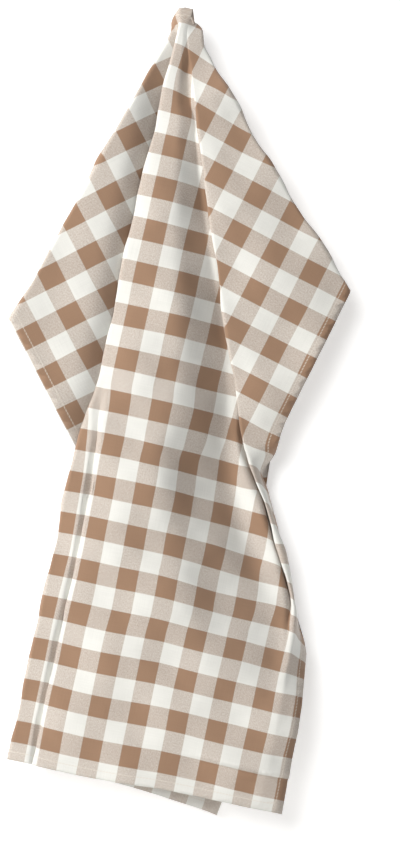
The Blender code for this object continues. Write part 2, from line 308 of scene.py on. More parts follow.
    # bend radius of each turn, mm, and the most cloth it may take, degrees
    turn_radii: tuple[float, ...] = (3.0, 2.5, 3.2, 6.0, 1.9, 4.0, 2.0, 5.0, 3.0)
    turn_limits: tuple[float, ...] = (60.0, 14.0, 14.0, 3.0, 6.0, 2.0, 6.0, 2.0, 60.0)
    turn_least: float = 0.3
    # the pleat's lip: most cloth, degrees, and the most of the hidden cloth that turns in
    lip_most: float = 1.5
    lip_in_most: float = 0.25
    # headings of the left wing, the right wing and the narrow strip, and of a layer folded back
    left_wing_run: float = 3.0
    right_wing_run: float = 2.0
    strip_run: float = 4.0
    fold_back: float = 170.0
    # amounts of the slow swells: headings, degrees, and shares of them
    wing_forward: float = 6.0
    wing_arch: float = 10.0
    left_flap_bend: float = 15.0
    crown: float = 14.0
    crown_wide: float = 0.45
    valley_rise: float = 1.9
    valley_ease: float = 0.12
    flank_ease: Span = (0.42, 0.25)
    wing_sink_wide: float = 30.0  # mm
    wing_sink_end: Span = (2.0, 6.0)
    panel_edge: float = 1.5
    left_spare: float = 0.5
    # depth that the front panel stands forward, mm
    forward: float = 14.0
    # Eased ranges of radius, mm: where each starts or ends, and over how much it runs.
    gather: Span = (9.0, 20.0)
    crown_in: Span = (40.0, 60.0)
    wing_forward_in: Span = (60.0, 60.0)
    wing_forward_out: Span = (400.0, 60.0)
    wing_arch_out: Span = (420.0, 60.0)
    forward_in: Span = (0.0, 150.0)
    sag_in: Span = (400.0, 300.0)
    drop_out: Span = (430.0, 60.0)
    # hidden cloth, mm, over which the pleat opens, and the radius within which it is crumpled
    pleat_in: Span = (2.0, 18.0)
    crumpled_to: float = 100.0
    # how far the gathered top curls, in degrees for each degree of the cloth
    gather_curl: float = 1.6
    # how much the cloth gives along the grain, and how that changes with the cloth angle
    grain_give: float = 1.008
    grain_skew: float = 0.0004
    # low down: how far the front panel hangs lower and the layer behind it higher, mm
    front_sag: float = 2.6
    back_lift: float = 19.0
    back_hump: float = 2.0
    # Eased ranges of cloth angle, degrees, for those and for the drops.
    front_sag_over: Span = (-0.6, 11.5)
    back_lift_over: Span = (-2.0, 18.0)
    back_hump_over: Span = (-2.0, 15.0)
    front_from: Span = (-14.0, 12.0)
    front_right_from: Span = (8.0, 14.0)
    wing_from: Span = (22.0, 10.0)
    strip_from: Span = (23.0, 4.0)
    # the crushed top: how far it reaches and spreads, and how far its right part hangs below, mm;
    # what ends in _in is the cloth angle over which each sets in
    tuft_over: float = 42.0
    tuft_right: float = 4.0
    tuft_right_in: float = 60.0
    tuft_left: float = 0.5
    tuft_left_in: float = 50.0
    tuft_corner: float = 16.0
    tuft_wide: float = 7.0
    tuft_wide_in: float = 25.0
    tuft_wide_left: float = 0.43
    tuft_step: float = 14.0
    tuft_step_from: Span = (30.0, 12.0)
    # where the sections are worked out: cloth angles, degrees, and radii, mm
    angles: np.ndarray = field(default_factory=lambda: np.linspace(-90.0, 90.0, 1441))
    radii: np.ndarray = field(
        default_factory=lambda: np.concatenate([[0.5, 2.0], np.arange(4.0, 752.0, 4.0)]))

    def turns_at(self, radius: float) -> list[float]:
        """Give the cloth angles of the nine turns.

        Args:
            radius: Distance from the hanging point on the cloth, mm.

        Returns:
            Angles in the order of Turn, degrees.
        """
        lean_front, front, pleat, _, wing, _ = self.row(radius)
        back = read_table(radius, self.back_spread)
        inner_left = (lean_front + back * front - wing) / (1.0 + back)
        hidden = read_table(radius, self.hidden)
        under = pleat - hidden
        inner_right = under + read_table(radius, self.under_share) * hidden
        lip = np.degrees(read_table(radius, self.lip) / np.maximum(radius, 1.0))
        lip = np.minimum(lip, self.lip_most)
        lip_in = read_table(radius, self.lip_in) * lip
        lip_in = pleat - np.minimum(lip_in, self.lip_in_most * hidden)
        return [self.outline_left, inner_left, front, under, inner_right, lip_in, pleat,
                pleat + lip, read_table(radius, self.outline_right)]

    def row(self, radius: float) -> list[float]:
        """Read the fold table.

        Args:
            radius: Distance from the hanging point, mm.

        Returns:
            Its six columns there.
        """
        return [float(read_table(radius, self.folds, column)) for column in range(1, 7)]

    def runs_at(self, radius: float, turns: list[float]) -> list[float]:
        """Give the way that the cloth runs in each layer.

        Args:
            radius: Distance from the hanging point, mm.
            turns: Angles of the nine turns there.

        Returns:
            Ten headings, degrees: 0 to the right, 90 away from the viewer.
        """
        hidden = math.radians(turns[Turn.PLEAT.value] - turns[Turn.UNDER.value]) * radius
        opened = float(rise(hidden, self.pleat_in)) + (radius < self.crumpled_to)
        opened = min(float(read_table(radius, self.opened)), opened)
        roll = float(read_table(radius, self.strip_roll))
        under = float(read_table(radius, self.under_roll)) * opened
        turned = float(read_table(radius, self.turned_back))
        turned = opened * (under - self.fold_back - turned)
        lean_in = float(rise(radius, self.wing_forward_in) * fall(radius, self.wing_forward_out))
        lean_in = -self.wing_forward * lean_in
        left = float(read_table(radius, self.left_flap_run))
        behind = float(read_table(radius, self.behind_run))
        right = float(read_table(radius, self.back_run))
        return [left, self.left_wing_run, behind, 0.0, under, turned, -self.fold_back * opened,
                self.right_wing_run + lean_in, self.strip_run + lean_in + roll, right]

    def widths_at(self, radius: float, turns: list[float]) -> list[float]:
        """Give the cloth angle that each turn takes.

        Args:
            radius: Distance from the hanging point, mm.
            turns: Angles of the nine turns there.

        Returns:
            Nine widths, degrees.
        """
        runs = self.runs_at(radius, turns)
        widths = []
        for i, (size, most) in enumerate(zip(self.turn_radii, self.turn_limits)):
            turn = math.radians(abs(runs[i + 1] - runs[i]))
            wide = math.degrees(turn * size / max(radius, TINY))
            widths.append(max(min(wide, most), self.turn_least))
        return widths

    def relief(self, radius: float, turns: list[float]) -> tuple[np.ndarray, np.ndarray]:
        """Swell and sink the layers slowly along a circle.

        Args:
            radius: Distance from the hanging point, mm.
            turns: Angles of the nine turns there.

        Returns:
            Change of heading for each of the drape's angles, degrees: of the slow swell, which
            leaves the checks their width, and of the narrow groove, which hides cloth.
        """
        theta = self.angles
        lean_front, front, _, _, wing, _ = self.row(radius)
        under, pleat = turns[Turn.UNDER.value], turns[Turn.PLEAT.value]
        # the front panel is crowned at its left, and falls away and rises again at its right
        edge = self.panel_edge
        inside = rise(theta, (front, edge)) * fall(theta, (under, edge))
        along = np.clip((theta - front) / max(under - front, 1.0), 0.0, 1.0)
        valley = float(read_table(radius, self.valley))
        back_up = 1.0 - self.valley_rise * smooth((along - valley) / self.valley_ease)
        flank = smooth((along - valley + self.flank_ease[0]) / self.flank_ease[1]) * back_up
        crown = self.crown * rise(radius, self.crown_in)
        change = inside * (crown * smooth(along / self.crown_wide) - crown
                           + flank * read_table(radius, self.flank))
        groove = (radius * np.sin(np.radians(theta)) - self.groove_at) / self.groove_half
        wall = smooth((self.groove_wall - np.abs(groove)) / self.groove_ease)
        down = smooth(0.5 - (groove - self.groove_bottom) / self.groove_soft)
        dip = wall * (self.groove_left * down - self.groove_right * (1.0 - down))
        sunk = dip * read_table(radius, self.groove_turn)
        # the left wing sinks beside the front fold
        edge = lean_front - wing
        wide = math.degrees(self.wing_sink_wide / max(radius, self.wing_sink_wide))
        sink = smooth((theta - edge + wide) / wide)
        sink = sink * (1.0 - rise(theta - edge, self.wing_sink_end))
        change = change + sink * read_table(radius, self.wing_dip)
        # the flap behind the left wing bends away, and the right wing is arched
        past = np.clip((self.outline_left - theta) / (90.0 + self.outline_left), 0.0, 1.0)
        change = change - self.left_flap_bend * past
        end = turns[Turn.RIGHT_OUTLINE.value]
        on_wing = np.clip((theta - pleat) / (end - pleat), 0.0, 1.0) * (theta < end)
        return change + self.wing_arch * on_wing * float(fall(radius, self.wing_arch_out)), sunk

    def section(self, radius: float) -> tuple[np.ndarray, np.ndarray]:
        """Follow the cloth along one circle round the hanging point.

        Args:
            radius: The circle's radius on the cloth, mm.

        Returns:
            Lean, degrees, and depth, mm, for each of the drape's angles.
        """
        theta = self.angles
        lean_front, front, pleat, lean_pleat, wing, spread = self.row(radius)
        turns = [float(a) for a in self.turns_at(radius)]
        inner_left, under = turns[Turn.LEFT_INNER.value], turns[Turn.UNDER.value]
        runs = self.runs_at(radius, turns)
        heading = np.full_like(theta, runs[0])
        for i, (angle, width) in enumerate(zip(turns, self.widths_at(radius, turns))):
            heading = heading + (runs[i + 1] - runs[i]) * smooth((theta - angle) / width + 0.5)
        swell, sunk = self.relief(radius, turns)
        heading = heading + sunk
        on_front = (theta > front) & (theta < turns[Turn.RIGHT_INNER.value])
        share = np.where(on_front, spread, 1.0)
        behind = (theta > inner_left) & (theta < front)
        share = np.where(behind, read_table(radius, self.back_spread), share)
        share = np.where((theta > pleat) & (theta < turns[Turn.RIGHT_OUTLINE.value]),
                         read_table(radius, self.wing_spread), share)
        # at the very top the cloth is only gathered: one open curl with no pleats in it
        pleated = float(rise(radius, self.gather))
        curl = (1.0 - pleated) * theta * self.gather_curl
        share = 1.0 + (share - 1.0) * pleated
        flow = share * np.cos(np.radians(curl + pleated * heading))
        deep = np.sin(np.radians(curl + pleated * (heading + swell))) * radius
        step = np.diff(theta)
        lean = np.append(0.0, np.cumsum(0.5 * (flow[1:] + flow[:-1]) * step))
        away = np.append(0.0, np.cumsum(0.5 * (deep[1:] + deep[:-1]) * np.radians(step)))
        lean = lean - np.interp(front, theta, lean) + lean_front
        away = away - np.interp(front, theta, away)
        away = away - self.forward * float(rise(radius, self.forward_in))
        # the front panel and the layer behind the left wing take up what is left over
        right = lean_pleat - float(np.interp(pleat, theta, lean))
        reach = np.clip((theta - front) / max(under - front, 1.0), 0.0, 1.0)
        lean = lean + pleated * right * reach
        left = self.outline_left + self.left_spare + wing
        left = left - float(np.interp(self.outline_left, theta, lean))
        lean = lean + pleated * left * smooth((front - theta) / (front - inner_left))
        return lean, away


@dataclass
class HungCloth:
    """The flat cloth laid on the drape, as a smooth map from (u, v) to space."""

    cloth: FlatCloth
    drape: Drape
    # the steps over which the cloth's slope is taken: along and across, mm, and its most, radians
    slope_along: float = 1.0
    slope_across: float = 0.3
    slope_most: float = 0.02
    lean_table: np.ndarray = field(init=False)
    away_table: np.ndarray = field(init=False)

    def __post_init__(self) -> None:
        """Work out every section once."""
        made = [self.drape.section(float(radius)) for radius in self.drape.radii]
        self.lean_table = np.array([lean for lean, _ in made])
        self.away_table = np.array([away for _, away in made])

    def look(self, table: np.ndarray, radius: np.ndarray, theta: np.ndarray) -> np.ndarray:
        """Read a section table between its rows and columns.

        Args:
            table: Lean or depth, one row a radius.
            radius: Distances from the hanging point, mm.
            theta: Cloth angles, degrees.

        Returns:
            The values there.
        """
        radii = self.drape.radii
        i = np.clip(np.searchsorted(radii, radius) - 1, 0, len(radii) - 2)
        f = (radius - radii[i]) / (radii[i + 1] - radii[i])
        last = len(self.drape.angles) - 1
        n = np.clip((theta + 90.0) * (last / 180.0), 0.0, last - 0.001)
        j = n.astype(int)
        g = n - j
        near = table[i, j] * (1.0 - g) + table[i, j + 1] * g
        far = table[i + 1, j] * (1.0 - g) + table[i + 1, j + 1] * g
        return near * (1.0 - f) + far * f

    def place(self, u: np.ndarray, v: np.ndarray) -> np.ndarray:
        """Hang places of the cloth.

        Args:
            u: Places across, mm.
            v: Places down, mm.

        Returns:
            Points in space, mm, one row each.
        """
        drape = self.drape
        radius = np.hypot(u, v)
        theta = np.degrees(np.arctan2(u, v))
        lean = np.radians(self.look(self.lean_table, radius, theta))
        away = self.look(self.away_table, radius, theta)
        # the grain gives a little, and the layer behind the front panel hangs higher low down
        start, over = drape.back_lift_over
        behind = np.clip((start - theta) / over, 0.0, 1.0)
        start, over = drape.back_hump_over
        hump = np.sin(np.pi * np.clip((start - theta) / over, 0.0, 1.0))
        start, over = drape.front_sag_over
        bulge = np.sin(np.pi * np.clip((theta - start) / over, 0.0, 1.0))
        sag = drape.front_sag * bulge - drape.back_lift * behind - drape.back_hump * hump
        length = radius * (drape.grain_give - drape.grain_skew * theta)
        length = length + rise(radius, drape.sag_in) * sag
        length = length + self.drop(radius, theta)
        # the gathered top is a blunt tuft, not a point, and its right part hangs lower
        tuft = smooth(1.0 - radius / drape.tuft_over)
        side = tuft * (drape.tuft_right * smooth(theta / drape.tuft_right_in)
                       - drape.tuft_left * smooth(-theta / drape.tuft_left_in))
        corner = smooth(1.0 - radius / drape.tuft_corner)
        side = side + corner * drape.tuft_wide * (smooth(theta / drape.tuft_wide_in)
                                                  - drape.tuft_wide_left)
        x, z = length * np.sin(lean) + side, -length * np.cos(lean)
        z = z - np.maximum(0.0, drape.tuft_step + z) * rise(theta, drape.tuft_step_from)
        return np.stack([x, away, z], axis=-1)

    def drop(self, radius: np.ndarray, theta: np.ndarray) -> np.ndarray:
        """Tell how much further down the panels hang than their place on the cloth gives.

        Args:
            radius: Distances from the hanging point, mm.
            theta: Cloth angles, degrees.

        Returns:
            Lengths along the fall of the cloth, mm.
        """
        drape = self.drape
        front = rise(theta, drape.front_from)
        wing = rise(theta, drape.wing_from) * fall(radius, drape.drop_out)
        return (read_table(radius, drape.drop_front) * front * (1.0 - wing)
                + read_table(radius, drape.drop_right) * rise(theta, drape.front_right_from)
                + read_table(radius, drape.drop_strip) * rise(theta, drape.strip_from))

    def normals(self, u: np.ndarray, v: np.ndarray) -> np.ndarray:
        """Find the way the cloth faces.

        Args:
            u: Places across, mm.
            v: Places down, mm.

        Returns:
            Unit normals, towards the viewer on the middle panel.
        """
        radius = np.hypot(u, v)
        theta = np.arctan2(u, v)
        side = np.clip(self.slope_across / np.maximum(radius, 1.0), 0.0, self.slope_most)
        low = np.clip(theta - side, -math.pi / 2.0, math.pi / 2.0)
        high = np.clip(theta + side, -math.pi / 2.0, math.pi / 2.0)
        across = (self.place(radius * np.sin(high), radius * np.cos(high))
                  - self.place(radius * np.sin(low), radius * np.cos(low)))
        near, far = radius - self.slope_along, radius + self.slope_along
        along = (self.place(far * np.sin(theta), far * np.cos(theta))
                 - self.place(near * np.sin(theta), near * np.cos(theta)))
        normal = np.cross(along, across)
        return normal / np.maximum(np.linalg.norm(normal, axis=1, keepdims=True), TINY * MM)


@dataclass(frozen=True)
class Creases:
    """Soft marks of packing, sewing and handling, laid over the folds."""

    # along the cloth: u from, v from, u to, v to, height, half width (all mm)
    lines: Table = (
        (-4.0, 338.0, 128.0, 343.0, 0.9, 5.0),
        (-235.0, 300.0, -120.0, 330.0, 0.8, 9.0),
        (120.0, 250.0, 205.0, 262.0, 0.8, 8.0),
        (40.0, 470.0, 66.0, 600.0, 0.7, 9.0),
    )
    # slow waves: share of u, share of v (both 1/mm), start, height mm
    waves: Table = (
        (0.011, 0.006, 0.4, 0.8),
        (-0.007, 0.013, 1.9, 0.7),
        (0.019, -0.009, 3.1, 0.35),
        (0.031, 0.024, 0.7, 0.18),
        (-0.027, 0.041, 2.2, 0.14),
    )
    line_fade: float = 25.0       # mm over which a line's ends fade
    # a pressed tuck on the right, above the bottom hem: u from, v from, u to, v to, height
    tuck: tuple[float, ...] = (146.0, 645.6, 256.0, 647.6, 2.6)
    tuck_fade: float = 30.0
    # distances below the tuck, mm, over which it swells and drops, then hollows and ends
    tuck_swell: Span = (-22.0, 21.0)
    tuck_drop: Span = (0.4, 1.6)
    tuck_hollow: Span = (-0.8, 1.4)
    tuck_end: Span = (9.0, 8.0)
    # puckers of the stitching: height, pitch, the distance in from the hem where they end, mm
    pucker: float = 0.22
    pucker_pitch: float = 7.5
    pucker_end: Span = (26.0, 22.0)
    pucker_wave: float = 31.0

    def height(self, u: np.ndarray, v: np.ndarray, edge: np.ndarray) -> np.ndarray:
        """Work out how far the marks stand off the folds.

        Args:
            u: Places across, mm.
            v: Places down, mm.
            edge: Distances from the nearest hem, mm.

        Returns:
            Heights along the cloth's own normal, mm.
        """
        total = np.zeros_like(u)
        for u0, v0, u1, v1, tall, half in self.lines:
            run = math.hypot(u1 - u0, v1 - v0)
            cu, cv = (u1 - u0) / run, (v1 - v0) / run
            along = (u - u0) * cu + (v - v0) * cv
            off = (u - u0) * -cv + (v - v0) * cu
            fade = smooth(along / self.line_fade) * smooth((run - along) / self.line_fade)
            total += tall * fade * np.exp(-((off / half) ** 2))
        for share_u, share_v, start, tall in self.waves:
            total += tall * np.sin(2.0 * np.pi * (u * share_u + v * share_v) + start)
        u0, v0, u1, v1, tall = self.tuck
        off = v - v0 - (v1 - v0) * (u - u0) / (u1 - u0)
        above = rise(off, self.tuck_swell) * fall(off, self.tuck_drop)
        below = rise(off, self.tuck_hollow) * fall(off, self.tuck_end)
        total += (tall * above - 0.5 * tall * below) * rise(u, (u0, self.tuck_fade))
        near = fall(edge, self.pucker_end)
        beat = np.sin(2.0 * np.pi * (u + v) / self.pucker_pitch)
        slow = 0.6 + 0.4 * np.sin((u - v) / self.pucker_wave)
        return total + self.pucker * near * beat * slow


@dataclass(frozen=True)
class RayMesh:
    """Rays along the folds and rings across them, as a mesh of the flat cloth."""

    hung: HungCloth
    # rays over a turn, over a soft turn, and how far past the turn's width they reach
    turn_steps: int = 9
    soft_steps: int = 5
    turn_reach: float = 0.55
    soft_turns: tuple[int, ...] = (Turn.UNDER.value, Turn.LIP_IN.value, Turn.LIP_OUT.value)
    # rays between one turn and the next, the first and last between a turn and the top hem
    between: tuple[int, ...] = (12, 24, 12, 30, 7, 7, 0, 0, 0, 12)
    # rays that follow the groove, in shares of its half width, and where they leave for it
    groove_rays: tuple[float, ...] = (
        -1.1, -0.8, -0.66, -0.57, -0.5, -0.4, -0.26, -0.14, -0.07, 0.0, 0.07, 0.14, 0.26, 0.4,
        0.5, 0.57, 0.66, 0.8, 1.1)
    groove_in: Span = (300.0, 60.0)
    groove_share: float = 0.3
    # rays of the right wing, close together over the narrow strip, in shares of its width
    strip_shares: tuple[float, ...] = (
        0.025, 0.053, 0.064, 0.075, 0.09, 0.105, 0.125, 0.145, 0.17, 0.2, 0.24, 0.28, 0.33, 0.38,
        0.44, 0.5, 0.57, 0.64, 0.71, 0.78, 0.85, 0.93)
    # rings, mm from the hanging point, and the radii between which they are finer for the tuck
    first_rings: tuple[float, ...] = (2, 4, 6.5, 9, 11.5, 14, 17, 20, 23, 26, 30, 34)
    ring_step: float = 4.0
    fine_step: float = 1.8
    fine_from: float = 648.0
    fine_to: float = 700.0
    last_ring: float = 745.0
    end_clear: float = 0.45       # of a step, between the last ring and a hem
    # where the end of a ray is looked for, and how finely, mm
    reach_from: float = 4.0
    reach_to: float = 750.0
    reach_step: float = 0.125
    corner_from: Span = (0.75, 0.25)  # share of a corner's ray over which it turns to the corner
    # the least distance between rays, mm, and the most that it may take, degrees
    gap: float = 0.32
    gap_most: float = 0.2

    def ray_row(self, radius: float) -> np.ndarray:
        """Lay all rays at one radius, in order and never touching.

        Args:
            radius: Distance from the hanging point, mm.

        Returns:
            Cloth angles, degrees.
        """
        drape = self.hung.drape
        centres = [float(a) for a in drape.turns_at(radius)]
        widths = drape.widths_at(radius, centres)
        row = [-90.0]
        for index, count in enumerate(self.between):
            left = row[-1]
            turn: list[float] = [90.0]
            if index < len(centres):
                count_here = self.soft_steps if index in self.soft_turns else self.turn_steps
                steps = np.linspace(-self.turn_reach, self.turn_reach, count_here)
                turn = [centres[index] + widths[index] * float(step) for step in steps]
            if index == Turn.RIGHT_OUTLINE.value:
                row += [left + (turn[0] - left) * share for share in self.strip_shares]
            elif index == Turn.UNDER.value:
                first = left + (turn[0] - left) * self.groove_share
                across = (drape.groove_at + drape.groove_half * np.array(self.groove_rays)) / radius
                # near the hanging point the groove's place has no ray, and isn't followed
                there = np.degrees(np.arcsin(np.clip(across, -0.9, 0.9)))
                even = np.linspace(left, first, len(self.groove_rays) + 1)[1:]
                row += list(even + (there - even) * rise(radius, self.groove_in))
                row += list(np.linspace(row[-1], turn[0], count + 2)[1:-1])
            else:
                row += list(np.linspace(left, turn[0], count + 2)[1:-1])
            row += turn
        made = np.array(row)
        place = min(math.degrees(self.gap / radius), self.gap_most) * np.arange(len(made))
        up = np.maximum.accumulate(made - place) + place
        low = np.minimum.accumulate((made - place)[::-1])[::-1] + place
        return np.clip(0.5 * (up + low), -90.0, 90.0)

    def rays(self) -> list[tuple[np.ndarray, np.ndarray]]:
        """Lay every ray from its first ring to its end on a hem.

        Returns:
            Places (u, v) along each ray, mm.
        """
        cloth, radii = self.hung.cloth, self.hung.drape.radii
        table = np.array([self.ray_row(float(radius)) for radius in radii])
        reach = np.arange(self.reach_from, self.reach_to + self.reach_step / 2.0, self.reach_step)
        rings = np.concatenate([
            self.first_rings,
            np.arange(self.first_rings[-1] + self.ring_step, self.fine_from, self.ring_step),
            np.arange(self.fine_from, self.fine_to, self.fine_step),
            np.arange(self.fine_to, self.last_ring, self.ring_step)])
        corners = {}
        for corner in ((-cloth.half_left, cloth.length_left),
                       (cloth.half_right, cloth.length_right)):
            far, angle = math.hypot(*corner), math.degrees(math.atan2(*corner))
            there = [float(np.interp(far, radii, table[:, i])) for i in range(table.shape[1])]
            corners[int(np.argmin(np.abs(np.array(there) - angle)))] = corner
        made = []
        for i in range(table.shape[1]):
            angle = np.interp(reach, radii, table[:, i])
            turned = np.radians(angle)
            out = ~cloth.holds(reach * np.sin(turned), reach * np.cos(turned))
            end, shift = float(reach[np.argmax(out)]), 0.0
            if i in corners:
                end = math.hypot(*corners[i])
                shift = math.degrees(math.atan2(*corners[i])) - float(np.interp(end, reach, angle))
            radius = np.append(rings[rings < end - self.end_clear * self.ring_step], end)
            angle = np.interp(radius, reach, angle) + shift * rise(radius / end, self.corner_from)
            angle = np.radians(angle)
            u = np.clip(radius * np.sin(angle), -cloth.half_left, cloth.half_right)
            v = np.maximum(np.minimum(radius * np.cos(angle), cloth.length(u)), 0.0)
            made.append((u, v))
        return made

    @staticmethod
    def join(one: list[tuple[int, float]], two: list[tuple[int, float]]) -> list[tuple[int, ...]]:
        """Fill the strip between two rays.

        Args:
            one: Vertex and radius of each place on the left ray.
            two: The same for the right ray.

        Returns:
            Faces that point at the viewer on the middle panel.
        """
        faces: list[tuple[int, ...]] = []
        p = q = 0
        while p < len(one) - 1 or q < len(two) - 1:
            left = one[p + 1][1] if p < len(one) - 1 else math.inf
            right = two[q + 1][1] if q < len(two) - 1 else math.inf
            if abs(left - right) < TINY:
                faces.append((one[p][0], one[p + 1][0], two[q + 1][0], two[q][0]))
                p, q = p + 1, q + 1
            elif left < right:
                faces.append((one[p][0], one[p + 1][0], two[q][0]))
                p += 1
            else:
                faces.append((one[p][0], two[q + 1][0], two[q][0]))
                q += 1
        return faces


def add_node(tree: bpy.types.NodeTree, kind: str, settings: dict[str, object] | None = None,
             sockets: dict[int | str, object] | None = None) -> bpy.types.Node:
    """Add one shader node with its settings and links.

    Args:
        tree: The material's or world's node tree.
        kind: Type name of the node.
        settings: Properties of the node.
        sockets: Inputs by name or number, each a value or the output socket that feeds it.

    Returns:
        The new node.
    """
    node = tree.nodes.new(kind)
    for name, value in (settings or {}).items():
        setattr(node, name, value)
    for key, value in (sockets or {}).items():
        if isinstance(value, bpy.types.NodeSocket):
            tree.links.new(value, node.inputs[key])
        else:
            node.inputs[key].default_value = value
    return node


class Step(Enum):
    """Steps of a pattern: kind of node, settings, the inputs that a row feeds, and the output."""

    ADD = ("ShaderNodeMath", {"operation": "ADD"}, (0, 1), 0)
    SUBTRACT = ("ShaderNodeMath", {"operation": "SUBTRACT"}, (0, 1), 0)
    MULTIPLY = ("ShaderNodeMath", {"operation": "MULTIPLY"}, (0, 1), 0)
    MULTIPLY_ADD = ("ShaderNodeMath", {"operation": "MULTIPLY_ADD"}, (0, 1, 2), 0)
    SINE = ("ShaderNodeMath", {"operation": "SINE"}, (0,), 0)
    ABSOLUTE = ("ShaderNodeMath", {"operation": "ABSOLUTE"}, (0,), 0)
    FOLD = ("ShaderNodeMath", {"operation": "PINGPONG"}, (0, 1), 0)
    EASE = ("ShaderNodeMapRange", {"interpolation_type": "SMOOTHSTEP"},
            ("Value", "From Min", "From Max", "To Min", "To Max"), 0)
    BLEND = ("ShaderNodeMix", {"data_type": "RGBA"}, (0, 6, 7), 2)
    TINT = ("ShaderNodeMix", {"data_type": "RGBA", "blend_type": "MULTIPLY"}, (0, 6, 7), 2)
    JOIN = ("ShaderNodeCombineXYZ", {}, (0, 1, 2), 0)
    STRETCH = ("ShaderNodeMapping", {}, ("Vector", "Scale"), 0)
    NOISE = ("ShaderNodeTexNoise", {}, ("Vector", "Scale", "Detail", "Roughness"), 0)


